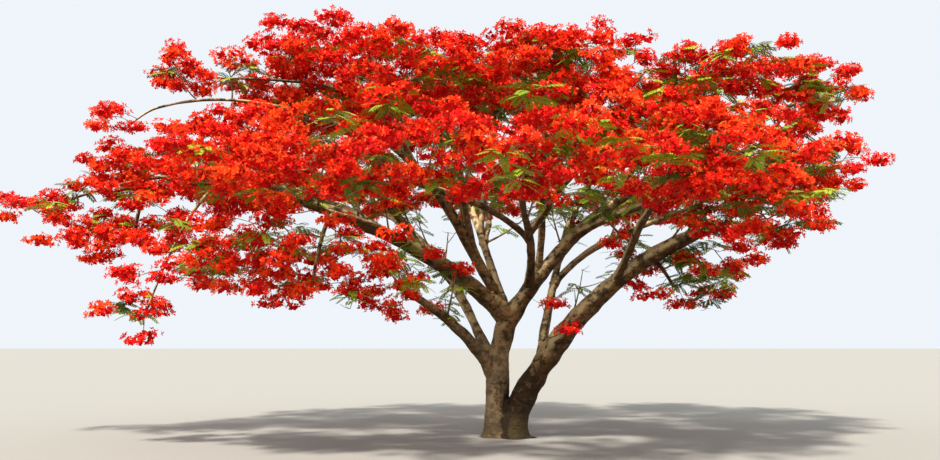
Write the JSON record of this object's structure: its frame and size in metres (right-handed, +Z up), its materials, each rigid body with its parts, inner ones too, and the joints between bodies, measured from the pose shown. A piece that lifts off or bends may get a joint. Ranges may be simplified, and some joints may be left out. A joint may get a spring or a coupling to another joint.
{
  "type": "flame tree",
  "caption": "Low, wide flame tree in full bloom: short fused trunk, long spreading boughs and a flat layered crown of scarlet blossom over feathery leaves.",
  "frame": {"origin": "middle of the flat cut under the trunk, at ground level", "axes": "+Z up the trunk, +X to the right in the picture along the crown's longest spread, +Y away from its viewer"},
  "size_m": [15.9519, 13.1652, 7.2429],
  "materials": {
    "bark": "rough grey-brown bark",
    "blossom": "matte scarlet petals",
    "foliage": "matte yellow-green leaves"
  },
  "bodies": {
    "root": {"back": "bark", "blossom_back": "blossom", "blossom_back_right": "blossom", "blossom_centre_back": "blossom", "blossom_centre_front": "blossom", "blossom_centre_high": "blossom", "blossom_centre_left": "blossom", "blossom_centre_top": "blossom", "blossom_front": "blossom", "blossom_front_left": "blossom", "blossom_front_right": "blossom", "blossom_front_skirt": "blossom", "blossom_left_arch": "blossom", "blossom_left_back": "blossom", "blossom_left_far": "blossom", "blossom_left_front": "blossom", "blossom_left_low": "blossom", "blossom_left_skirt": "blossom", "blossom_left_tip": "blossom", "blossom_left_upright": "blossom", "blossom_low_left_back": "blossom", "blossom_low_left_front": "blossom", "blossom_low_right": "blossom", "blossom_low_right_front": "blossom", "blossom_main_left": "blossom", "blossom_right_back": "blossom", "blossom_right_far": "blossom", "blossom_right_front": "blossom", "blossom_right_high": "blossom", "blossom_right_upright": "blossom", "blossom_top_left": "blossom", "blossom_top_right": "blossom", "blossom_upper_tip": "blossom", "centre_back": "bark", "centre_front": "bark", "centre_high": "bark", "centre_left": "bark", "centre_top": "bark", "front": "bark", "front_left": "bark", "front_right": "bark", "leaf_low_right": "foliage", "left_arch": "bark", "left_back": "bark", "left_far": "bark", "left_front": "bark", "left_upright": "bark", "low_left_back": "bark", "low_left_front": "bark", "low_right": "bark", "low_right_front": "bark", "main_left": "bark", "right_back": "bark", "right_far": "bark", "right_front": "bark", "right_high": "bark", "right_upright": "bark", "top_left": "bark", "top_right": "bark", "trunk": "bark"}
  },
  "joints": []
}
